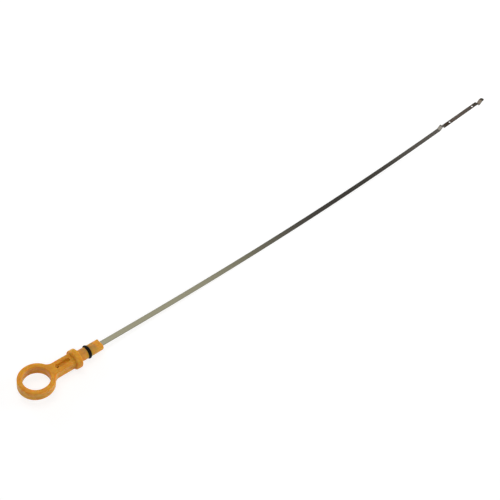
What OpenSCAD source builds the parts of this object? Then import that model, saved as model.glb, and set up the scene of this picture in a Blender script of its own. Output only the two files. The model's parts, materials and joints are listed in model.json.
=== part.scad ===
// Engine oil dipstick: a moulded plastic handle on a flat spring steel blade, with a rubber seal ring.
// It lies as it rests on a table: on the underside of the collar and on the belly of the curved blade.
// The origin is on the spigot's axis, in the plane of the collar's front face, which stops on the tube.
// +X runs along the spigot towards the blade's tip (dipped by the rest tilt), +Z is up. Millimetres.

/* [Finger ring] */
// Outer diameter of the finger ring
ring_od = 30; // [26:0.5:36]
// Diameter of the hole for the finger
ring_hole_d = 21.8; // [18:0.1:24]
// Thickness of the ring and of the neck
handle_t = 9; // [7:0.25:11]
// Radius on the moulded edges of the ring and of the neck
handle_edge_r = 0.9; // [0.3:0.1:1.4]
// Distance from the ring's centre to the collar's front face
ring_to_seat = 38.9; // [36:0.5:50]

/* [Neck] */
// Width of the straight neck between the ring and the collar
neck_w = 11; // [9:0.25:13]
// Radius of the hollow blends from the neck into the ring
neck_blend_r = 6; // [3:0.5:7]
// Width of the cored pocket in each face of the neck
pocket_w = 3.8; // [3:0.1:4.4]
// Length of the cored pocket
pocket_len = 14; // [9:0.5:15]
// Depth of the cored pocket
pocket_depth = 2.3; // [1:0.1:3]
// Distance from the pocket's front end to the collar's back face
pocket_to_collar = 2.2; // [1:0.1:3.5]
// Diameter of the core pin's well in the pocket's floor, which reaches down to the blade
well_d = 2.2; // [1.5:0.1:2.8]
// Distance from the pocket's back end to the middle of the well
well_from_end = 2.7; // [2:0.1:4]

/* [Collar] */
// Diameter of the collar that stops on the mouth of the tube
collar_d = 17.2; // [15:0.2:22]
// Length of the collar
collar_len = 5.4; // [3:0.1:7]
// Radius on the collar's back edge
collar_back_r = 1.2; // [0.4:0.1:2]
// Radius on the collar's front edge
collar_front_r = 0.8; // [0.2:0.1:1.4]

/* [Spigot] */
// Diameter of the spigot that enters the tube
spigot_d = 10.2; // [9:0.1:12]
// Length of the spigot in front of the collar
spigot_len = 22.9; // [17:0.1:32]
// Chamfer on the spigot's front end
spigot_chamfer = 0.4; // [0.2:0.1:1]
// Length of the nose, which tapers a little to find the tube
nose_len = 7.2; // [4:0.1:9.5]
// Loss of radius over the nose's taper
nose_taper = 0.1; // [0.05:0.05:0.5]
// Length of the slanted flats on the nose, above and below the blade
nose_flat_len = 6.7; // [3:0.1:9]
// Depth of the flats below the spigot's skin at its front end
nose_flat_depth = 2.5; // [1:0.1:3.5]

/* [Seal ring] */
// Outer diameter of the seal ring as fitted
seal_od = 12.2; // [11.8:0.1:14]
// Diameter of the seal ring's round section
seal_section_d = 2.8; // [2.2:0.1:3.1]
// Distance from the collar's front face to the middle of the seal ring
seal_from_seat = 9.5; // [4:0.1:12]
// Side clearance of the seal ring in its groove
seal_side_gap = 0.15; // [0.05:0.05:0.4]
// Clearance between the seal ring and the floor of its groove
seal_floor_gap = 0.03; // [0.01:0.01:0.1]

/* [Blade] */
// Width of the steel strip
blade_w = 5.1; // [4:0.1:5.6]
// Thickness of the steel strip
blade_t = 0.7; // [0.5:0.05:1.2]
// Length of strip moulded into the handle behind the collar's front face
root_len = 24; // [12:0.5:24]
// Diameter of the retention hole in the root, which the plastic fills
root_hole_d = 2.2; // [1:0.1:2.6]
// Distance from the root's end to the retention hole
root_hole_from_end = 9; // [3:0.5:9]
// Straight length in front of the collar's front face before the blade curves
straight_len = 47; // [36:1:80]
// Length of the long curve, along the blade
bend_len = 463; // [300:5:560]
// Angle of the long curve, ring face inwards
bend_angle = 7.8; // [4:0.2:12]
// Straight length from the long curve to the first crimp
run_len = 23.3; // [10:0.1:60]

/* [Crimps and gauge section] */
// Slope of the crimps' ramps
crimp_angle = 47; // [25:1:60]
// Bend radius of the crimps, at mid thickness
crimp_bend_r = 1.2; // [0.8:0.1:1.6]
// Rise of the first crimp, which holds the gauge section off the tube's wall
hump_rise = 3.4; // [1.8:0.1:5]
// Length of flat on top of the first crimp
hump_flat = 1.4; // [0.2:0.1:3]
// Distance from the gauge section's back end to the upper level hole
upper_mark = 14; // [4:0.5:18]
// Distance between the two level holes
mark_spacing = 50; // [20:0.5:60]
// Distance from the lower level hole to the gauge section's front end
lower_mark = 10.5; // [4:0.5:18]
// Drop of the second crimp
valley_drop = 3.8; // [1.8:0.1:5]
// Length of flat at the bottom of the second crimp
valley_flat = 1.4; // [0.2:0.1:3]
// Length of the rounded tip in front of the second crimp
tip_len = 4.75; // [3:0.25:12]
// Diameter of the level holes
level_hole_d = 2.6; // [1.2:0.1:3]

/* [Hidden] */
$fn = 64;
edge_fn = 16;
eps = 0.01;
// Depth at which the blends start under the skin of the ring and the neck, so that they overlap them
blend_bite = 0.03;

// Places along the axis, from the collar's front face
ring_x = -ring_to_seat;
collar_back_x = -collar_len;
pocket_front_x = collar_back_x - pocket_to_collar;
pocket_x = pocket_front_x - pocket_len / 2;
well_x = pocket_front_x - pocket_len + well_from_end;
root_x = -root_len;

// Derived sizes of the ring, the seal and its groove
ring_wall = (ring_od - ring_hole_d) / 2;
seal_mid_r = (seal_od - seal_section_d) / 2;
groove_r = seal_mid_r - seal_section_d / 2 - seal_floor_gap;
groove_w = seal_section_d + 2 * seal_side_gap;

// The flat gauge section is as long as its two marks need
gauge_len = upper_mark + mark_spacing + lower_mark;

// Where the blend circle touches the ring and the neck, seen from above with the ring's centre at 0
blend_y = neck_w / 2 + neck_blend_r - blend_bite;
blend_x = sqrt(pow(ring_od / 2 + neck_blend_r - blend_bite, 2) - pow(blend_y, 2));
blend_angle = atan2(blend_y, blend_x);

// The blade's centre line is a walk of steps [length, turn in degrees]: a step with a turn is an arc.
function arc(turn, r) = [[abs(turn) * PI / 180 * r, turn]];
function line(len) = [[len, 0]];
function ramp_len(rise) = (rise - 2 * crimp_bend_r * (1 - cos(crimp_angle))) / sin(crimp_angle);
function crimp(rise, flat, side) = concat(
    arc(side * crimp_angle, crimp_bend_r), line(ramp_len(rise)), arc(-side * crimp_angle, crimp_bend_r),
    line(flat),
    arc(-side * crimp_angle, crimp_bend_r), line(ramp_len(rise)), arc(side * crimp_angle, crimp_bend_r));

steps_to_gauge = concat(
    line(root_len + straight_len), [[bend_len, bend_angle]], line(run_len), crimp(hump_rise, hump_flat, 1));
steps = concat(
    steps_to_gauge, line(gauge_len), crimp(valley_drop, valley_flat, -1), line(tip_len));

// A pose is [x, z, heading]; moved() carries one along a step or a part of it.
function moved(p, len, turn) = turn == 0
    ? [p[0] + len * cos(p[2]), p[1] + len * sin(p[2]), p[2]]
    : let (r = len / (turn * PI / 180), h = p[2] + turn)
        [p[0] + r * (sin(h) - sin(p[2])), p[1] - r * (cos(h) - cos(p[2])), h];
function pieces(step) = step[1] == 0 ? 1 : max(4, ceil(step[0] / 20));
function walk(list, p, i = 0) = i == len(list) ? [p] : let (s = list[i], n = pieces(s)) concat(
    [for (k = [0 : n - 1]) moved(p, s[0] * k / n, s[1] * k / n)],
    walk(list, moved(p, s[0], s[1]), i + 1));
function last(list) = list[len(list) - 1];

centre_line = walk(steps, [root_x, 0, 0]);
gauge_start = last(walk(steps_to_gauge, [root_x, 0, 0]));
tip = last(centre_line);

// The rest tilt is the angle of the line that touches the collar's front corner and the long curve's belly.
bend_r = bend_len / (bend_angle * PI / 180);
corner_x = -collar_front_r;
corner_z = -collar_d / 2;
belly_dx = straight_len - corner_x;
belly_dz = bend_r - corner_z;
rest_tilt = acos((bend_r + blade_t / 2) / norm([belly_dx, belly_dz])) - atan2(belly_dx, belly_dz);

// Rectangle w by h about the origin with true round corners
module rounded_rect(w, h, r) {
    square([w - 2 * r, h], center = true);
    square([w, h - 2 * r], center = true);
    for (sx = [-1, 1], sy = [-1, 1])
        translate([sx * (w / 2 - r), sy * (h / 2 - r)]) circle(r, $fn = edge_fn);
}

// Stadium of the pocket, along X about the origin
module stadium(len, w) {
    square([len - w, w], center = true);
    for (s = [-1, 1]) translate([s * (len - w) / 2, 0]) circle(d = w);
}

// Turns a profile in XY, drawn with X as the radius and Y as the distance, about the spigot's axis
module about_axis() {
    rotate([0, 90, 0]) rotate([0, 0, 90]) rotate_extrude() children();
}

module finger_ring() {
    rotate_extrude() translate([(ring_od - ring_wall) / 2, 0]) rounded_rect(ring_wall, handle_t, handle_edge_r);
}

// Neck of rounded section from inside the ring's wall to inside the collar
module neck() {
    start = (ring_od - ring_wall) / 2;
    translate([start, 0, 0]) rotate([90, 0, 90])
        linear_extrude(ring_to_seat - collar_len / 2 - start) rounded_rect(neck_w, handle_t, handle_edge_r);
}

// Cutter of the hollow blend: a drum whose rims flare out over the rounded edge
module blend_cutter() {
    rotate_extrude() difference() {
        translate([0, -handle_t / 2 - eps]) square([neck_blend_r + handle_edge_r, handle_t + 2 * eps]);
        translate([neck_blend_r + handle_t / 2, 0]) rounded_rect(handle_t, handle_t, handle_edge_r);
    }
}

// Web that fills both corners between the ring and the neck, out to the blends
module blend_webs() {
    for (side = [0, 1]) mirror([0, side, 0]) difference() {
        linear_extrude(handle_t, center = true) polygon([
            [ring_od / 2 - ring_wall / 2, 0],
            [(ring_od - ring_wall) / 2 * cos(blend_angle), (ring_od - ring_wall) / 2 * sin(blend_angle)],
            [blend_x, blend_y],
            [blend_x, 0]]);
        translate([blend_x, blend_y, 0]) blend_cutter();
    }
}

// Pocket cored into one face, with a pin's well down to the blade
module pocket() {
    floor_z = handle_t / 2 - pocket_depth;
    translate([pocket_x, 0, floor_z]) linear_extrude(pocket_depth + eps) stadium(pocket_len, pocket_w);
    translate([well_x, 0, blade_t / 2]) cylinder(d = well_d, h = handle_t / 2);
}

// Half section of the collar, with true arcs on both edges
module collar_section() {
    r = collar_d / 2;
    translate([0, -collar_len + collar_back_r]) square([r, collar_len - collar_back_r - collar_front_r]);
    translate([0, -collar_len]) square([r - collar_back_r, collar_len]);
    translate([0, -collar_len / 2]) square([r - collar_front_r, collar_len / 2]);
    translate([r - collar_back_r, -collar_len + collar_back_r]) circle(collar_back_r, $fn = 2 * edge_fn);
    translate([r - collar_front_r, -collar_front_r]) circle(collar_front_r, $fn = edge_fn);
}

module collar() {
    about_axis() collar_section();
}

module spigot() {
    round_len = spigot_len - nose_len;
    end_r = spigot_d / 2 - nose_taper;
    rotate([0, 90, 0]) {
        translate([0, 0, -collar_len / 2]) cylinder(d = spigot_d, h = round_len + collar_len / 2);
        translate([0, 0, round_len]) cylinder(r1 = spigot_d / 2, r2 = end_r, h = nose_len - spigot_chamfer);
        translate([0, 0, spigot_len - spigot_chamfer])
            cylinder(r1 = end_r, r2 = end_r - spigot_chamfer, h = spigot_chamfer);
    }
}

// Cutters of the two slanted flats on the nose, which start where they touch the spigot's skin
module nose_flats() {
    for (side = [0, 1]) mirror([0, 0, side]) translate([spigot_len - nose_flat_len, 0, spigot_d / 2])
        rotate([0, atan2(nose_flat_depth, nose_flat_len), 0])
            translate([-spigot_d / 2, -spigot_d, 0]) cube([spigot_len, 2 * spigot_d, spigot_d]);
}

module seal_groove() {
    rotate([0, 90, 0]) translate([0, 0, seal_from_seat - groove_w / 2]) difference() {
        cylinder(d = seal_od, h = groove_w);
        translate([0, 0, -eps]) cylinder(r = groove_r, h = groove_w + 2 * eps);
    }
}

// The stretch of strip that the plastic is moulded round, with its retention hole
module root() {
    difference() {
        translate([root_x, -blade_w / 2, -blade_t / 2]) cube([root_len + spigot_len, blade_w, blade_t]);
        root_hole();
    }
}

module root_hole() {
    translate([root_x + root_hole_from_end, 0, -blade_t]) cylinder(d = root_hole_d, h = 2 * blade_t);
}

// Side profile of the strip: the centre line set off by half the thickness both ways
module strip_profile() {
    above = [for (p = centre_line) [p[0] - blade_t / 2 * sin(p[2]), p[1] + blade_t / 2 * cos(p[2])]];
    below = [for (p = centre_line) [p[0] + blade_t / 2 * sin(p[2]), p[1] - blade_t / 2 * cos(p[2])]];
    polygon(concat(above, [for (i = [len(below) - 1 : -1 : 0]) below[i]]));
}

// Outline of the strip from above, with its round tip
module strip_plan() {
    translate([root_x - eps, -blade_w / 2]) square([tip[0] - root_x - blade_w / 2 + eps, blade_w]);
    translate([tip[0] - blade_w / 2, 0]) circle(d = blade_w);
}

module level_holes() {
    translate([gauge_start[0], 0, gauge_start[1]]) rotate([0, -gauge_start[2], 0])
        for (d = [upper_mark, upper_mark + mark_spacing])
            translate([d, 0, -blade_t]) cylinder(d = level_hole_d, h = 2 * blade_t);
}

module at_rest() {
    rotate([0, rest_tilt, 0]) children();
}

module handle() {
    color([0.78, 0.55, 0.22]) at_rest() difference() {
        union() {
            translate([ring_x, 0, 0]) {
                finger_ring();
                neck();
                blend_webs();
            }
            collar();
            spigot();
        }
        pocket();
        mirror([0, 0, 1]) pocket();
        nose_flats();
        seal_groove();
        root();
    }
}

module seal_ring() {
    color([0.04, 0.04, 0.04]) at_rest() translate([seal_from_seat, 0, 0]) rotate([0, 90, 0])
        rotate_extrude() translate([seal_mid_r, 0]) circle(d = seal_section_d, $fn = edge_fn);
}

module blade() {
    color([0.55, 0.54, 0.48]) at_rest() difference() {
        intersection() {
            rotate([90, 0, 0]) linear_extrude(blade_w, center = true) strip_profile();
            translate([0, 0, -bend_len]) linear_extrude(2 * bend_len) strip_plan();
        }
        root_hole();
        level_holes();
    }
}

handle();
seal_ring();
blade();
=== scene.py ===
import json
import math

import bmesh
import bpy
import numpy as np
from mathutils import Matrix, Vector
from mathutils.geometry import tessellate_polygon


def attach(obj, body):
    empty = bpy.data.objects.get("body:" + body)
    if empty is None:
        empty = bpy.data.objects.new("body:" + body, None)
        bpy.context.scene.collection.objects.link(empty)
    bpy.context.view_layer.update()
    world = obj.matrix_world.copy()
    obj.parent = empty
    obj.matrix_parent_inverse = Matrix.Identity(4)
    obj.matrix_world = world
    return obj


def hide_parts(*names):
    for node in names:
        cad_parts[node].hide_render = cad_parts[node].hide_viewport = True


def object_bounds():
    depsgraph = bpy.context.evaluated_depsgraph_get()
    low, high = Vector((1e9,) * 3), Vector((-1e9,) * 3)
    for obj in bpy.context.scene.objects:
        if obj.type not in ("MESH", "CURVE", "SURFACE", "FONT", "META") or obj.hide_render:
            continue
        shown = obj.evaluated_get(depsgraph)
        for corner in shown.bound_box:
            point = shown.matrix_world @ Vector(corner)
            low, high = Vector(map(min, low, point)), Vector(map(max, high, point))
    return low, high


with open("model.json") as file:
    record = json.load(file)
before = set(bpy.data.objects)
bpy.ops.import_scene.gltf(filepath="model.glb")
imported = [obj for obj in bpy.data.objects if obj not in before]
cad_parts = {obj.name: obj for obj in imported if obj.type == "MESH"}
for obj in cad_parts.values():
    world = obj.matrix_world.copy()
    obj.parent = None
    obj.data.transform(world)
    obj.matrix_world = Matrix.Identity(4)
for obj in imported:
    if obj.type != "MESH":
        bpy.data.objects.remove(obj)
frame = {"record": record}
cad_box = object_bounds()


# Steel blade
# One strip of rolled spring steel: sheared to width, its edges rolled round, bent over dies into a long
# gentle curve and two crimps, and punched with two level holes. Its root is moulded into the handle.

mm = 0.001

blade_w = 5.1 * mm
blade_t = 0.7 * mm
blade_edge_r = 0.22 * mm
root_len = 24 * mm
straight_len = 47 * mm
bend_len = 463 * mm
bend_angle = math.radians(7.8)
run_len = 23.3 * mm
crimp_angle = math.radians(47)
crimp_bend_r = 1.2 * mm
hump_rise = 3.4 * mm
hump_flat = 1.4 * mm
gauge_upper = 14 * mm
mark_spacing = 50 * mm
gauge_lower = 10.5 * mm
valley_drop = 3.8 * mm
valley_flat = 1.4 * mm
tip_len = 4.75 * mm
level_hole_r = 1.3 * mm
punch_r = 0.1 * mm          # the edge that the punch rolls over

root_step = 6 * mm          # furthest that the mesh's sections are apart on the root and the straight,
curve_step = 4 * mm         # on the long curve,
flat_step = 1.5 * mm        # on the flats and ramps beyond it,
bend_step = 0.13 * mm       # in the crimps' bends
end_step = 1 * mm           # and before the round tip
same_place = 0.01 * mm      # sections closer together than this are one
hole_patch = 2.1 * mm       # half length of the patch of mesh round a level hole
patch_points = 17           # points along such a patch,
edge_points = 4             # round a rolled edge,
punch_points = 4            # over an edge that the punch rolled
tip_points = 13             # and round half of the tip
weld = 0.001 * mm           # points of a piece that are closer together than this are one

steel_bright = "#aba78e"
# Partly a film of old oil, partly painted dark reflection along the blade's long dark stretch
steel_oil_and_dark_reflection = "#958f85"
# Painted dark reflection, from the first crimp's crest to the first level hole
steel_painted_dark_reflection = "#6a5b4b"
# Browner on the gauge section, and darker towards the tip
steel_gauge_brown = "#998a7e"
steel_tip = "#84796c"
edge_clean = "#8a8676"
edge_oiled = "#49463f"
# Colours laid over the faces, each over the last, the first partly and the second wholly painted dark
# reflection: its colour, where it begins along X and where it is full
face_layers = ((steel_oil_and_dark_reflection, 180 * mm, 300 * mm), (steel_painted_dark_reflection, 539 * mm, 550 * mm),
              (steel_gauge_brown, 556 * mm, 562 * mm), (steel_tip, 600 * mm, 612 * mm))
edge_film = (edge_oiled, 160 * mm, 280 * mm)
film_strays = 6 * mm        # how far a film's end strays to either side,
film_patch = 5 * mm         # in patches of this size
grain_size = (40 * mm, 0.3 * mm, 3 * mm)
grain_rough = (0.3, 0.7, 0.1, 0.15)     # noise from 0.3 to 0.7 becomes roughness from 0.1 to 0.15


def linear(code):
    """The sRGB hex colour as linear RGBA: each channel through the two branches of the sRGB curve."""
    s = np.array([int(code[i:i + 2], 16) for i in (1, 3, 5)]) / 255
    rgb = np.where(s <= 0.04045, s / 12.92, ((s + 0.055) / 1.055) ** 2.4)
    return (*rgb.tolist(), 1.0)


def add(tree, kind, values=None, links=None, **settings):
    """Adds one node: settings are its properties, values its sockets' values, links its sockets' sources."""
    made = tree.nodes.new(kind)
    for name, value in settings.items():
        setattr(made, name, value)
    for name, value in (values or {}).items():
        made.inputs[name].default_value = value
    for name, source in (links or {}).items():
        tree.links.new(source, made.inputs[name])
    return made


# A Map Range node's sockets, in the order in which a range gives its four numbers: the source's lowest and
# highest value, and what each becomes
range_ends = ("From Min", "From Max", "To Min", "To Max")
under_socket, over_socket, mixed_socket = 6, 7, 2   # a Mix node's sockets for colours


def new_material(name):
    """A material with an empty node tree, and that tree."""
    made = bpy.data.materials.new(name)
    made.use_nodes = True
    made.node_tree.nodes.clear()
    return made, made.node_tree


def new_object(name, data):
    """An object with this data, in the scene."""
    made = bpy.data.objects.new(name, data)
    bpy.context.scene.collection.objects.link(made)
    return made


def grid_faces(rows, columns, ring):
    """Quads between neighbours of a grid of points: rows by columns, the columns closed round if ring."""
    i, j = np.meshgrid(np.arange(rows - 1), np.arange(columns if ring else columns - 1), indexing="ij")
    here, beside = i * columns + j, i * columns + (j + 1) % columns
    return np.stack([here, beside, beside + columns, here + columns], -1).reshape(-1, 4)


rest_axis = frame["record"]["mounts"][0]["axis"]


def at_rest(points):
    """Turns points from the spigot's own frame into the frame at rest: a turn about Y that takes +X to the
    spigot's axis."""
    x, y, z = np.moveaxis(points, -1, 0)
    return np.stack([x * rest_axis[0] - z * rest_axis[2], y, x * rest_axis[2] + z * rest_axis[0]], -1)


def piece(name, surfaces, material, node, flats=()):
    """One closed mesh from surfaces, each given as points and the faces between them: points less than a
    micron apart become one, flats given by a point and a normal are cut off it and closed, faces are turned
    outwards, and the piece takes the place of a node."""
    points, faces, start = [], [], 0
    for p, f in surfaces:
        points.append(p.reshape(-1, 3))
        faces += (np.asarray(f) + start).tolist()
        start += len(points[-1])
    mesh = bpy.data.meshes.new(name)
    mesh.from_pydata(np.concatenate(points).tolist(), [], faces)
    shell = bmesh.new()
    shell.from_mesh(mesh)
    bmesh.ops.remove_doubles(shell, verts=shell.verts, dist=weld)
    bmesh.ops.dissolve_degenerate(shell, edges=shell.edges, dist=weld / 2)
    for place, facing in flats:
        cut = bmesh.ops.bisect_plane(shell, geom=[*shell.verts, *shell.edges, *shell.faces], dist=weld / 2,
                                     plane_co=place, plane_no=facing, clear_outer=True)
        rim = [e for e in cut["geom_cut"] if isinstance(e, bmesh.types.BMEdge)]
        bmesh.ops.holes_fill(shell, edges=rim)
        for edge in rim:
            edge.smooth = False
    bmesh.ops.recalc_face_normals(shell, faces=shell.faces)
    shell.to_mesh(mesh)
    shell.free()
    flat = np.empty(3 * len(mesh.vertices))
    mesh.vertices.foreach_get("co", flat)
    mesh.vertices.foreach_set("co", at_rest(flat.reshape(-1, 3)).ravel())
    mesh.polygons.foreach_set("use_smooth", [True] * len(mesh.polygons))
    mesh.materials.append(material)
    made = new_object(name, mesh)
    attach(made, "root")
    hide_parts(node)


def crimp(rise, flat, side):
    """Steps of a crimp, as length and turn: up a ramp between two bends, along a flat, and down again."""
    bent = (crimp_angle * crimp_bend_r, side * crimp_angle)
    back = (bent[0], -bent[1])
    ramp = ((rise - 2 * crimp_bend_r * (1 - math.cos(crimp_angle))) / math.sin(crimp_angle), 0)
    return [bent, ramp, back, (flat, 0), back, ramp, bent]


# The blade's centre line as steps of a length and a turn, and where each step begins: how far along the
# strip, at what heading, and at what place in X and Z
gauge_len = gauge_upper + mark_spacing + gauge_lower
steps_to_gauge = [(root_len + straight_len, 0), (bend_len, bend_angle), (run_len, 0),
                  *crimp(hump_rise, hump_flat, 1)]
steps = np.array([*steps_to_gauge, (gauge_len, 0), *crimp(valley_drop, valley_flat, -1), (tip_len, 0)])
gauge_start = sum(length for length, turn in steps_to_gauge)


def arc_chord(length, turn, heading):
    """The way across an arc: its length shortened by the sine of half its turn over that half, along the
    mean heading, in X and Z."""
    chord = length * np.sinc(turn / 2 / np.pi)
    return np.stack([chord * np.cos(heading + turn / 2), chord * np.sin(heading + turn / 2)], -1)


step_from = np.concatenate([[0], np.cumsum(steps[:, 0])])
step_heading = np.concatenate([[0], np.cumsum(steps[:, 1])])
step_chords = arc_chord(*steps.T, step_heading[:-1])
step_place = np.concatenate([[[0, 0]], np.cumsum(step_chords, axis=0)]) - [root_len, 0]
blade_len = step_from[-1]


def on_blade(s, across, off):
    """A point of the strip: s along its centre line, across it along Y, and off it along its normal."""
    i = np.clip(np.searchsorted(step_from, s, side="right") - 1, 0, len(steps) - 1)
    length = s - step_from[i]
    turn = steps[i, 1] * length / steps[i, 0]
    x, z = np.moveaxis(step_place[i] + arc_chord(length, turn, step_heading[i]), -1, 0)
    heading = step_heading[i] + turn
    return np.stack([x - off * np.sin(heading), across + 0 * x, z + off * np.cos(heading)], -1)


# Places across the strip's flat face, closer together towards the rolled edges, and round such an edge
face_half = (blade_w / 2 - blade_edge_r) * np.array([0, 0.14, 0.28, 0.42, 0.56, 0.7, 0.84, 0.96, 1])
face_across = np.concatenate([face_half[:0:-1], -face_half])
edge_turn = np.radians(np.linspace(0, 90, edge_points + 1))[1:]
corner_across = blade_w / 2 - blade_edge_r * (1 - np.sin(edge_turn))
corner_off = blade_t / 2 - blade_edge_r * (1 - np.cos(edge_turn))
edge_across = -np.concatenate([corner_across, corner_across[::-1]])
edge_off = np.concatenate([corner_off, -corner_off[::-1]])
# Once round the section: top face, rolled edge, bottom face, and the other edge
half_off = np.concatenate([0 * face_across + blade_t / 2, edge_off])
half_across = np.concatenate([face_across, edge_across])
section_across = np.concatenate([half_across, -half_across])
section_off = np.concatenate([half_off, -half_off])


def spread(start, stop, step):
    """Places from start to stop, no further apart than step."""
    return np.linspace(start, stop, max(2, math.ceil((stop - start) / step) + 1))


hole_s = gauge_start + gauge_upper + np.array([0, mark_spacing])
patch_along = np.linspace(-hole_patch, hole_patch, patch_points)
step_ends = np.append(step_from[1:-1], blade_len - blade_w / 2)
spacing = [root_step, curve_step, *(bend_step if turn else flat_step for turn in steps[2:-1, 1]), end_step]
stations = np.concatenate([spread(*ends) for ends in zip(step_from[:-1], step_ends, spacing)])
in_a_patch = np.any([np.abs(stations - s) < hole_patch - same_place for s in hole_s], axis=0)
stations = np.concatenate([stations[~in_a_patch], *(s + patch_along for s in hole_s)])
# Sections in one place become one, at its exact place, so that the patches meet the strip
stations = stations[np.unique(np.round(stations / same_place), return_index=True)[1]]


def strip_body():
    """The strip as a section carried along its centre line, without its faces where a patch goes."""
    s, across = np.meshgrid(stations, section_across, indexing="ij")
    quads = grid_faces(len(stations), len(section_across), True)
    row, column = np.divmod(quads[:, 0], len(section_across))
    on_face = column % len(half_across) < len(face_across) - 1
    halfway = (stations[row] + stations[row + 1]) / 2
    in_patch = np.any([np.abs(halfway - middle) < hole_patch for middle in hole_s], axis=0)
    return on_blade(s, across, section_off + 0 * s), quads[~(on_face & in_patch)]


def strip_tip():
    """The round tip: the section's half width shrinks with the cosine of a quarter turn, as the section
    moves on by that half width times the sine."""
    turn = np.radians(np.linspace(0, 90, tip_points))[:, None]
    reach = np.maximum(np.abs(section_across), blade_w / 2 - blade_edge_r)
    points = on_blade(blade_len - blade_w / 2 + reach * np.sin(turn), section_across * np.cos(turn),
                      section_off + 0 * turn)
    return points, grid_faces(tip_points, len(section_across), True)


def level_hole(middle):
    """The patch round a level hole: rings from its outline in to a circle, over the edge that the punch
    rolled, down the hole, and out again below."""
    row, width, far = patch_along[:-1], face_across[:-1], face_across[0]
    side = np.concatenate([width, 0 * row - far, -width, 0 * row + far])
    along = np.concatenate([0 * width - hole_patch, row, 0 * width + hole_patch, patch_along[:0:-1]])
    angle = np.arctan2(side, along)
    turn = np.radians(np.linspace(0, 90, punch_points))
    rim_r = np.append(level_hole_r + 2 * punch_r, level_hole_r + punch_r * (1 - np.sin(turn)))
    rim_off = np.append(blade_t / 2, blade_t / 2 - punch_r * (1 - np.cos(turn)))
    # Outline, half way in, and the rings of the rim
    share = np.array([0, 0.5])[:, None]
    flat_along = share * rim_r[0] * np.cos(angle) + (1 - share) * along
    flat_side = share * rim_r[0] * np.sin(angle) + (1 - share) * side
    upper_along = np.concatenate([flat_along, rim_r[:, None] * np.cos(angle)])
    upper_side = np.concatenate([flat_side, rim_r[:, None] * np.sin(angle)])
    upper_off = np.concatenate([[blade_t / 2] * 2, rim_off])[:, None] + 0 * upper_along
    points = on_blade(middle + np.concatenate([upper_along, upper_along[::-1]]),
                      np.concatenate([upper_side, upper_side[::-1]]),
                      np.concatenate([upper_off, -upper_off[::-1]]))
    return points, grid_faces(len(points), len(angle), True)


# Bright rolled spring steel: a fine grain along the strip; a grey that begins a third of the way down,
# partly a thin film of old oil and partly painted dark reflection; painted dark reflection from the front of
# the first crimp to the first level hole; browner on the gauge section and darker towards the tip.
steel, tree = new_material("rolled_spring_steel")
place = add(tree, "ShaderNodeTexCoord").outputs["Object"]
# Rolling leaves lines under 0.1 mm wide and tens of mm long. They are drawn 0.15 mm wide, so that they show
stretched = add(tree, "ShaderNodeMapping", {"Scale": [1 / size for size in grain_size]}, {"Vector": place})
grain = add(tree, "ShaderNodeTexNoise", {"Scale": 1.0, "Detail": 3.0, "Roughness": 0.6},
            {"Vector": stretched.outputs["Vector"]}).outputs["Fac"]
patches = add(tree, "ShaderNodeTexNoise", {"Scale": 1 / film_patch, "Detail": 2.0}, {"Vector": place})
ragged = add(tree, "ShaderNodeMapRange", {"To Min": -film_strays, "To Max": film_strays},
             {"Value": patches.outputs["Fac"]})
spot = add(tree, "ShaderNodeSeparateXYZ", links={"Vector": place}).outputs
down = add(tree, "ShaderNodeMath", links={0: spot["X"], 1: ragged.outputs["Result"]},
           operation="ADD").outputs["Value"]


def coated(tree, under, film, distance, start, full):
    """The colour of a surface under a film, whose share grows from 0 to 1 as a distance goes from start to
    full. Both colours may be a hex colour or a node's output."""
    share = add(tree, "ShaderNodeMapRange", {"From Min": start, "From Max": full}, {"Value": distance},
                interpolation_type="SMOOTHSTEP")
    mix = add(tree, "ShaderNodeMix", links={"Factor": share.outputs["Result"]}, data_type="RGBA")
    for socket, colour in ((under_socket, under), (over_socket, film)):
        if isinstance(colour, str):
            mix.inputs[socket].default_value = linear(colour)
        else:
            tree.links.new(colour, mix.inputs[socket])
    return mix.outputs[mixed_socket]


face = steel_bright
for film, start, full in face_layers:
    face = coated(tree, face, film, down, start, full)
# The sheared edges are duller than the faces, and hold more of the oil
edge = coated(tree, edge_clean, edge_film[0], down, *edge_film[1:])
beside = add(tree, "ShaderNodeMath", links={0: spot["Y"]}, operation="ABSOLUTE").outputs["Value"]
colour = coated(tree, face, edge, beside, blade_w / 2 - 2 * blade_edge_r, blade_w / 2 - blade_edge_r)
rough = add(tree, "ShaderNodeMapRange", dict(zip(range_ends, grain_rough)), {"Value": grain})
bump = add(tree, "ShaderNodeBump", {"Strength": 0.25, "Distance": 0.004 * mm}, {"Height": grain})
shader = add(tree, "ShaderNodeBsdfPrincipled", {"Metallic": 1.0},
             {"Base Color": colour, "Roughness": rough.outputs["Result"], "Normal": bump.outputs["Normal"]})
add(tree, "ShaderNodeOutputMaterial", links={"Surface": shader.outputs["BSDF"]})

body = strip_body()
root_end = (body[0][0], [range(len(section_across))])
piece("blade_strip", [body, strip_tip(), root_end, *(level_hole(s) for s in hole_s)], steel,
      "blade")


# Handle
# One injection moulding in glass-filled nylon, orange-yellow right through: finger ring, hollow blends,
# neck with a cored pocket in both faces, stop collar and spigot. The mould parts at mid height.

ring_r = 15 * mm
finger_r = 10.9 * mm
half_t = 4.5 * mm
wall_edge_r = 0.9 * mm
ring_x = -38.9 * mm
neck_half = 5.5 * mm
blend_r = 6 * mm
draft = math.tan(math.radians(0.5))
seam_depth = 0.03 * mm      # the mould's parting line, a hairline notch
seam_half = 0.06 * mm
support = 0.12 * mm         # narrow band of flat that keeps the shading of an edge off the flat beyond it

collar_r = 8.6 * mm
collar_len = 5.4 * mm
collar_back_r = 1.2 * mm
collar_front_r = 0.8 * mm
neck_fillet_r = 0.3 * mm

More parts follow.
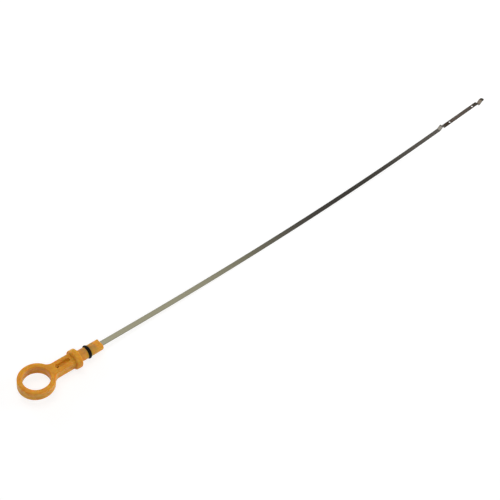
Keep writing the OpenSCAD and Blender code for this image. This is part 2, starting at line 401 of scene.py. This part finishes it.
spigot_r = 5.1 * mm
spigot_len = 22.9 * mm
spigot_chamfer = 0.4 * mm
spigot_fillet_r = 0.2 * mm
groove_from = 7.95 * mm
groove_to = 11.05 * mm
groove_r = 3.27 * mm
groove_lip_r = 0.15 * mm
nose_len = 7.2 * mm
nose_taper = 0.1 * mm
nose_flat_from = 16.2 * mm  # where the slanted flats leave the cylinder's top
nose_flat_end = 2.6 * mm    # height of the flats over the blade's plane at the spigot's end
slot_gap = 0.06 * mm        # the hairline round the blade where it leaves the plastic
slot_depth = 1.2 * mm
slot_rim_r = 0.08 * mm

pocket_x = -14.6 * mm
pocket_half_len = 7 * mm
pocket_half_w = 1.9 * mm
pocket_floor = 2.2 * mm
pocket_rim_r = 0.2 * mm
pocket_fillet_r = 0.25 * mm
well_r = 1.1 * mm
well_x = -18.9 * mm
well_bottom = 0.3 * mm
well_rim_r = 0.08 * mm

neck_points = 14            # points of the mesh along the neck,
blend_points = 15           # round a hollow blend,
ring_points = 74            # round half of the finger ring,
finger_points = 180         # round the finger hole,
wall_edge_points = 9        # over the rounded edge of ring and neck,
recess_edge_points = 4      # over a rim or fillet of a pocket, well or slot,
pocket_end_points = 17      # round an end of a pocket,
well_points = 40            # round a well,
slot_corner_points = 6      # round a corner of the slot,
neck_fillet_points = 6      # over the fillet between neck and collar,
collar_back_points = 13     # over the collar's rounded back
collar_front_points = 9     # and front,
lip_points = 7              # over each small round of the spigot
turned_points = 144         # and round the collar and spigot

plastic_light = "#e7a832"
plastic_deep = "#dc962a"
spigot_grey = "#8f8062"
flow_size = 4 * mm
flow_mottle = (0.35, 0.65, 0.0, 1.0)    # by the flow's noise: the share of the light colour
grit_size = 0.3 * mm
grit_rough = (0.3, 0.7, 0.42, 0.52)
# The spigot's grey, darker on its upper side in front of the seal ring, is a product of these shares
grey_at_seal = (10 * mm, 11.5 * mm, 0.2, 0.35)   # along X: more in front of the seal ring than behind it,
grey_at_nose = (16 * mm, 19 * mm, 1.0, 0.0)      # none on the nose
grey_at_collar = (0.3 * mm, 1.5 * mm, 0.0, 1.0)  # and none in the corner at the collar
grey_upwards = (0.0, 5 * mm, 0.3, 1.6)           # along Z: most on the upper side
grey_mottle = (0.35, 0.65, 1.0, 0.5)             # by the flow's noise: less where the plastic is light


def band(path, normals, profile, closed):
    """A profile carried along a path: each point is the path's, moved in by the profile's depth against the
    normal and set at the profile's height."""
    depth, height = np.array(profile)[:, :2].T
    plane = path[None] - depth[:, None, None] * normals[None]
    points = np.concatenate([plane, np.broadcast_to(height[:, None, None], (*plane.shape[:2], 1))], -1)
    return points, grid_faces(len(profile), len(path), closed)


def fill(*loops):
    """A flat face between an outer loop and the loops inside it, cut into triangles."""
    return np.concatenate(loops), tessellate_polygon([loop.tolist() for loop in loops])


def arc(start, stop, count):
    """Unit vectors at count angles in degrees from start to stop."""
    a = np.radians(np.linspace(start, stop, count))
    return np.stack([np.cos(a), np.sin(a)], -1)


def circle(count):
    """Unit vectors at count even steps once round."""
    return arc(0, 360, count + 1)[:-1]


def plan_outline():
    """The moulding seen from above, with its normals: along the neck, round the hollow blend, round the
    finger ring, and back the same way mirrored."""
    across = neck_half + blend_r
    ahead = math.sqrt((ring_r + blend_r) ** 2 - across ** 2)
    touch = math.degrees(math.atan2(across, ahead))
    x = np.linspace(-collar_len - neck_fillet_r, ring_x + ahead, neck_points)
    neck = np.stack([x, 0 * x + neck_half], -1)
    to_blend = arc(-90, touch - 180, blend_points)[1:]
    to_ring = arc(touch, 180, ring_points)[1:]
    half = np.concatenate([neck, [ring_x + ahead, across] + blend_r * to_blend,
                           [ring_x, 0] + ring_r * to_ring])
    facing = np.concatenate([0 * neck + [0, 1], -to_blend, to_ring])
    flip = np.array([1, -1])
    return np.concatenate([half, half[-2::-1] * flip]), np.concatenate([facing, facing[-2::-1] * flip])


def moulded_wall():
    """Profile over a moulded wall, as depth, height and the normal's angle: flat, round edge, drafted wall,
    parting line, and the same below."""
    turn = np.radians(np.linspace(90, 0, wall_edge_points))
    depth, height = wall_edge_r * (1 - np.cos(turn)), half_t - wall_edge_r * (1 - np.sin(turn))
    upper = np.concatenate([[[wall_edge_r + support, half_t, math.pi / 2]],
                            np.stack([depth, height, turn], -1),
                            [[0, seam_half, 0], [seam_depth, 0, 0]]])
    upper[:-1, 0] += draft * upper[:-1, 1]
    return np.concatenate([upper, upper[-2::-1] * [1, -1, -1]])


def stadium(half_len, half_w):
    """Stadium loop about the origin with normals that point inwards, the way the recess's wall faces."""
    facing = np.concatenate([arc(-90, 90, pocket_end_points), arc(90, 270, pocket_end_points)])
    ends = np.repeat([half_len - half_w, half_w - half_len], pocket_end_points)
    return np.stack([ends, 0 * ends], -1) + half_w * facing, -facing


def recess(rim_r, top, bottom, fillet_r):
    """Profile down into a recess, as depth and height: flat, round rim, drafted wall, and a fillet to the
    floor. A fillet of 0 leaves a square bottom."""
    rim = np.radians(np.linspace(90, 0, recess_edge_points))
    sweep = np.radians(np.linspace(0, 90, recess_edge_points if fillet_r else 1))
    down = np.concatenate([
        [[rim_r + support, top]],
        np.stack([rim_r * (1 - np.cos(rim)), top - rim_r * (1 - np.sin(rim))], -1),
        np.stack([-fillet_r * (1 - np.cos(sweep)), bottom + fillet_r * (1 - np.sin(sweep))], -1),
        [[-fillet_r - support, bottom]]])
    down[1:, 0] -= draft * (top - down[1:, 1])
    return down


def pockets(rims):
    """The upper face and what is cored into it, a pocket with a well in its floor, and the same mirrored
    below. The face goes between the rims given and the pocket's own."""
    path, normals = stadium(pocket_half_len, pocket_half_w)
    pocket = band(path + [pocket_x, 0], normals,
                  recess(pocket_rim_r, half_t, pocket_floor, pocket_fillet_r), True)
    around = circle(well_points)
    well = band([well_x, 0] + well_r * around, -around,
                recess(well_rim_r, pocket_floor, well_bottom, 0), True)
    upper = [pocket, well, fill(*rims, pocket[0][0]), fill(pocket[0][-1], well[0][0]), fill(well[0][-1])]
    return upper + [(points * [1, 1, -1], faces) for points, faces in upper]


def neck_fillet(wall):
    """The fillet from the neck to the collar's back: the neck's section grows by the fillet's radius times 1
    less the cosine of a quarter turn, as it moves forward by the radius times the sine."""
    depth, height, angle = wall.T
    side, out = neck_half - depth, np.cos(angle)
    section = np.concatenate([np.stack([side, height], -1), np.stack([-side, height], -1)[::-1]])
    facing = np.concatenate([np.stack([out, np.sin(angle)], -1), np.stack([-out, np.sin(angle)], -1)[::-1]])
    turn = np.radians(np.linspace(0, 90, neck_fillet_points))
    reach = np.append(neck_fillet_r * (1 - np.cos(turn)), neck_fillet_r + support / 2)
    forward = np.append(neck_fillet_r * (np.sin(turn) - 1), 0) - collar_len
    swept = section + reach[:, None, None] * facing
    points = np.concatenate([np.broadcast_to(forward[:, None, None], (*swept.shape[:2], 1)), swept], -1)
    return points, grid_faces(len(points), len(section), True)


def revolve(profile, count):
    """A profile of distance and radius along the spigot's axis, turned about it in count steps."""
    x, r = (column[:, None] for column in np.array(profile).T)
    y, z = circle(count).T
    return np.stack([x + 0 * y, r * y, r * z], -1), grid_faces(len(profile), count, True)


def quarter(centre_x, centre_r, radius, start, stop, count=lip_points):
    """Points of an arc in a half section, about a centre given as distance and radius."""
    return (np.array([centre_x, centre_r]) + radius * arc(start, stop, count)).tolist()


def turned_profile():
    """Half section of collar and spigot, as distance and radius, from the collar's back to the nose."""
    back, front, foot, lip = collar_back_r, collar_front_r, spigot_fillet_r, groove_lip_r
    end_r = spigot_r - nose_taper
    chamfer_x = spigot_len - spigot_chamfer
    return [
        [-collar_len, collar_r - back - support / 2],
        *quarter(-collar_len + back, collar_r - back, back, 180, 90, collar_back_points),
        *quarter(-front, collar_r - front, front, 90, 0, collar_front_points),
        [0, collar_r - front - support], [0, spigot_r + foot + support],
        *quarter(foot, spigot_r + foot, foot, 180, 270),
        [foot + support, spigot_r], [groove_from - lip - support, spigot_r],
        *quarter(groove_from - lip, spigot_r - lip, lip, 90, 0),
        [groove_from, groove_r + support], [groove_from, groove_r],
        [groove_to, groove_r], [groove_to, groove_r + support],
        *quarter(groove_to + lip, spigot_r - lip, lip, 180, 90),
        [groove_to + lip + support, spigot_r], [spigot_len - nose_len, spigot_r],
        [chamfer_x - support, end_r],
        *quarter(chamfer_x, end_r - spigot_chamfer, spigot_chamfer, 90, 0),
        [spigot_len, end_r - spigot_chamfer - support]]


def slot_mouth():
    """Mouth of the slot that the blade leaves by: a recess in the spigot's end, round the blade."""
    half_w, half_h, corner = blade_w / 2 + slot_gap, blade_t / 2 + slot_gap, blade_edge_r
    facing = np.concatenate([arc(start, start + 90, slot_corner_points) for start in (0, 90, 180, 270)])
    centres = np.array([[1, 1], [-1, 1], [-1, -1], [1, -1]]) * [half_w - corner, half_h - corner]
    path = np.repeat(centres, slot_corner_points, axis=0) + corner * facing
    points, faces = band(path, -facing, recess(slot_rim_r, spigot_len, spigot_len - slot_depth, 0), True)
    return points[..., [2, 0, 1]], faces


def handle_surfaces():
    """The moulding as bands round its outlines, a body turned about the axis, and flat faces between them."""
    wall = moulded_wall()
    outer = band(*plan_outline(), wall, False)
    around = circle(finger_points)
    finger = band([ring_x, 0] + finger_r * around, -around, wall, True)
    fillet = neck_fillet(wall)
    turned = revolve(turned_profile(), turned_points)
    slot = slot_mouth()
    return [outer, finger, *pockets((outer[0][0], finger[0][0])),
            fillet, turned, fill(turned[0][0], fillet[0][-1]),
            slot, fill(turned[0][-1], slot[0][0]), fill(slot[0][-1])]


# Glass-filled nylon, moulded in a spark-eroded tool: satin, slightly see-through at the edges, with a faint
# flow mottle a few millimetres across where the glass lies differently. The spigot is a little grey, most of
# all on its upper side, just in front of the seal ring.
nylon, tree = new_material("glass_filled_nylon")
place = add(tree, "ShaderNodeTexCoord").outputs["Object"]
flow = add(tree, "ShaderNodeTexNoise",
           {"Scale": 1 / flow_size, "Detail": 3.0, "Roughness": 0.55, "Distortion": 0.6},
           {"Vector": place}).outputs["Fac"]
mottle = add(tree, "ShaderNodeMapRange", dict(zip(range_ends, flow_mottle)), {"Value": flow})
plastic = add(tree, "ShaderNodeMix", {under_socket: linear(plastic_deep), over_socket: linear(plastic_light)},
              {"Factor": mottle.outputs["Result"]}, data_type="RGBA")
# Spark-eroded grain of 0.05 mm, drawn at 0.3 mm so that it shows
grit = add(tree, "ShaderNodeTexNoise", {"Scale": 1 / grit_size, "Detail": 2.0},
           {"Vector": place}).outputs["Fac"]
rough = add(tree, "ShaderNodeMapRange", dict(zip(range_ends, grit_rough)), {"Value": grit})
bump = add(tree, "ShaderNodeBump", {"Strength": 0.3, "Distance": 0.02 * mm}, {"Height": grit})
spot = add(tree, "ShaderNodeSeparateXYZ", links={"Vector": place}).outputs
shares = [add(tree, "ShaderNodeMapRange", dict(zip(range_ends, ends)), {"Value": source}).outputs["Result"]
          for ends, source in ((grey_at_seal, spot["X"]), (grey_at_nose, spot["X"]), (grey_at_collar, spot["X"]),
                               (grey_upwards, spot["Z"]), (grey_mottle, flow))]
greyed = shares[0]
for share in shares[1:]:
    greyed = add(tree, "ShaderNodeMath", links={0: greyed, 1: share}, operation="MULTIPLY").outputs["Value"]
colour = add(tree, "ShaderNodeMix", {over_socket: linear(spigot_grey)},
             {"Factor": greyed, under_socket: plastic.outputs[mixed_socket]}, data_type="RGBA")
shader = add(tree, "ShaderNodeBsdfPrincipled",
             {"IOR": 1.53, "Specular IOR Level": 0.25, "Subsurface Weight": 0.9,
              "Subsurface Radius": (1.0, 0.3, 0.08), "Subsurface Scale": 2.5 * mm},
             {"Base Color": colour.outputs[mixed_socket], "Roughness": rough.outputs["Result"],
              "Normal": bump.outputs["Normal"]})
add(tree, "ShaderNodeOutputMaterial", links={"Surface": shader.outputs["BSDF"]})

# A slanted flat goes from the cylinder's top down to its height at the end, over this length and drop
flat_len, flat_drop = spigot_len - nose_flat_from, spigot_r - nose_flat_end
nose_flats = [((nose_flat_from, 0, side * spigot_r), (flat_drop, 0, side * flat_len)) for side in (1, -1)]
piece("handle_moulding", handle_surfaces(), nylon, "handle", nose_flats)


# Seal ring
# A moulded O-ring in black nitrile rubber, stretched over the spigot into its groove. A hairline of flash
# is left round its widest and narrowest places, where the mould's halves met.

seal_x = 9.5 * mm
seal_mid_r = 4.7 * mm
seal_section_r = 1.4 * mm
flash_height = 0.03 * mm
flash_half = math.radians(3)
seal_section_points = 72
seal_ring_points = 160
rubber_black = "#070806"
bloom_size = 1.5 * mm
bloom_rough = (0.3, 0.7, 0.45, 0.6)

turn = np.radians(np.linspace(0, 360, seal_section_points + 1))
# Away from the flash the section is drawn in by the flash's height, so that the flash reaches the full size
near_flash = np.exp(-(np.sin(turn) / math.sin(flash_half)) ** 2)
section_r = seal_section_r - flash_height * (1 - near_flash)
seal_profile = np.stack([seal_x + section_r * np.sin(turn), seal_mid_r + section_r * np.cos(turn)], -1)

# Nitrile rubber: near black, with a soft sheen from mould release and a trace of oil
rubber, tree = new_material("nitrile_rubber")
place = add(tree, "ShaderNodeTexCoord").outputs["Object"]
bloom = add(tree, "ShaderNodeTexNoise", {"Scale": 1 / bloom_size, "Detail": 3.0},
            {"Vector": place}).outputs["Fac"]
rough = add(tree, "ShaderNodeMapRange", dict(zip(range_ends, bloom_rough)), {"Value": bloom})
bump = add(tree, "ShaderNodeBump", {"Strength": 0.2, "Distance": 0.01 * mm}, {"Height": bloom})
shader = add(tree, "ShaderNodeBsdfPrincipled",
             {"Base Color": linear(rubber_black), "IOR": 1.52, "Specular IOR Level": 0.1},
             {"Roughness": rough.outputs["Result"], "Normal": bump.outputs["Normal"]})
add(tree, "ShaderNodeOutputMaterial", links={"Surface": shader.outputs["BSDF"]})

piece("seal_o_ring", [revolve(seal_profile, seal_ring_points)], rubber, "seal_ring")


# Floor, light and camera
# A white table under a tent of soft light. A graduated grey card stands beyond the blade's tip, as in a
# studio: only shiny surfaces mirror it, and it gives the polished blade its dark stretch.

floor_z = cad_box[0][2]
floor_half = 3.0
table_white = "#f2f2f2"
backdrop_share = 0.6        # share of plain backdrop over the floor's own lit shade, for the camera,
backdrop_level = 1.27       # and its level, which comes to white with the lit shade
lit_to = 0.9                # beyond this distance the lamps' light falls off,
backdrop_from = 1.8         # and from here on the camera sees plain backdrop alone, at the level of white
tent_light = 0.33           # how brightly the tent lights the object, where the camera sees it as white

card_foot = (1.04, 0.4)     # middle of the card's foot on the table
card_turn = math.radians(30)    # from +X to the way that the card's back faces
card_width = 1.8
card_height = 1.6
# Height up the card in metres, and how bright the card is there
card_shades = ((0.4, 0.24), (0.47, 0.25), (0.495, 0.36), (0.61, 0.36), (0.625, 0.31), (0.64, 0.14),
               (0.785, 0.13), (0.81, 0.21), (0.83, 0.32), (0.86, 0.35), (0.89, 0.36), (0.93, 0.47),
               (0.97, 0.66), (1.0, 0.74), (1.1, 0.75), (1.2, 0.79), (1.3, 0.9), (1.6, 1.0))

lamp_size = 0.8
lamp_aim = (0.1, 0, 0)
# Name of each lamp, its place in metres and its power in watts
lamps = (("overhead", (-0.056, 0.27, 1.467), 4.8), ("beyond_the_tip", (1.342, -0.717, 0.439), 11.4),
         ("far_side", (0.1, 1.434, 0.439), 7.3), ("near_side", (-0.8, -0.9, 0.3), 1.4))

camera_place = (-0.20761, -0.30469, 0.51035)
camera_turn = (44.437, -8.182, -45.155)     # degrees about X, Y and Z
camera_focal = 53.28        # millimetres, for a sensor of this width
camera_sensor = 36


def seen_directly(tree):
    """1 where the camera looks at a surface, straight or by a mirror image or through plastic, and 0 where
    the surface only lights others."""
    ray = add(tree, "ShaderNodeLightPath").outputs
    seen = add(tree, "ShaderNodeMath", links={0: ray["Is Camera Ray"], 1: ray["Is Glossy Ray"]},
               operation="MAXIMUM")
    return add(tree, "ShaderNodeMath", links={0: seen.outputs["Value"], 1: ray["Is Transmission Ray"]},
               operation="MAXIMUM").outputs["Value"]


def stage_sheet(name, corners, material):
    """A flat four-sided sheet of the stage, which isn't part of the object."""
    mesh = bpy.data.meshes.new(name)
    mesh.from_pydata(corners, [], [(0, 1, 2, 3)])
    mesh.materials.append(material)
    made = new_object(name, mesh)
    return made


white, tree = new_material("white_table")
place = add(tree, "ShaderNodeTexCoord").outputs["Object"]
away = add(tree, "ShaderNodeVectorMath", links={0: place}, operation="LENGTH").outputs["Value"]
# Both the share of plain backdrop and its level go to 1 with the distance
plain, level = (add(tree, "ShaderNodeMapRange", dict(zip(range_ends, (lit_to, backdrop_from, near, 1.0))),
                    {"Value": away}).outputs["Result"] for near in (backdrop_share, backdrop_level))
share = add(tree, "ShaderNodeMath", links={0: seen_directly(tree), 1: plain}, operation="MULTIPLY")
shine = add(tree, "ShaderNodeEmission", {"Color": (1, 1, 1, 1)}, {"Strength": level})
matt = add(tree, "ShaderNodeBsdfDiffuse", {"Color": linear(table_white)})
both = add(tree, "ShaderNodeMixShader",
           links={0: share.outputs["Value"], 1: matt.outputs["BSDF"], 2: shine.outputs["Emission"]})
add(tree, "ShaderNodeOutputMaterial", links={"Surface": both.outputs["Shader"]})
corners = [(x * floor_half, y * floor_half, floor_z) for x, y in ((-1, -1), (1, -1), (1, 1), (-1, 1))]
stage_sheet("floor", corners, white)

world = bpy.data.worlds.new("tent")
bpy.context.scene.world = world
world.use_nodes = True
tree = world.node_tree
tree.nodes.clear()
level = add(tree, "ShaderNodeMapRange", {"To Min": tent_light, "To Max": 1.0}, {"Value": seen_directly(tree)})
sky = add(tree, "ShaderNodeBackground", {"Color": (1, 1, 1, 1)}, {"Strength": level.outputs["Result"]})
add(tree, "ShaderNodeOutputWorld", links={"Surface": sky.outputs["Background"]})

grey, tree = new_material("graduated_paper")
place = add(tree, "ShaderNodeTexCoord").outputs["Object"]
spot = add(tree, "ShaderNodeSeparateXYZ", links={"Vector": place}).outputs
up = add(tree, "ShaderNodeMapRange", {"From Max": card_height}, {"Value": spot["Z"]})
shades = add(tree, "ShaderNodeValToRGB", links={"Fac": up.outputs["Result"]})
ramp = shades.color_ramp.elements
ramp.remove(ramp[1])
ramp[0].position = 0
ramp[0].color = (*[card_shades[0][1]] * 3, 1)
for height, shade in card_shades:
    ramp.new(height / card_height).color = (shade, shade, shade, 1)
paper = add(tree, "ShaderNodeEmission", links={"Color": shades.outputs["Color"]})
add(tree, "ShaderNodeOutputMaterial", links={"Surface": paper.outputs["Emission"]})
half_foot = np.array([math.sin(card_turn), -math.cos(card_turn)]) * card_width / 2
corners = [(*(card_foot + side * half_foot), floor_z + height)
           for side, height in ((-1, 0), (1, 0), (1, card_height), (-1, card_height))]
card = stage_sheet("graduated_card", corners, grey)
card.visible_camera = card.visible_diffuse = card.visible_shadow = False

# Square soft lamps that face the object. The tent's cloth hides them, so nothing mirrors them
for name, location, power in lamps:
    light = bpy.data.lights.new(name, "AREA")
    light.size = lamp_size
    light.energy = power
    lamp = new_object(name, light)
    lamp.location = location
    lamp.rotation_euler = (Vector(location) - Vector(lamp_aim)).to_track_quat("Z", "Y").to_euler()
    lamp.visible_glossy = False

lens = bpy.data.cameras.new("camera")
lens.sensor_width = camera_sensor
lens.lens = camera_focal
lens.clip_start = 0.01
camera = new_object("camera", lens)
camera.location = camera_place
camera.rotation_euler = [math.radians(angle) for angle in camera_turn]
bpy.context.scene.camera = camera
bpy.context.scene.view_settings.view_transform = "Standard"
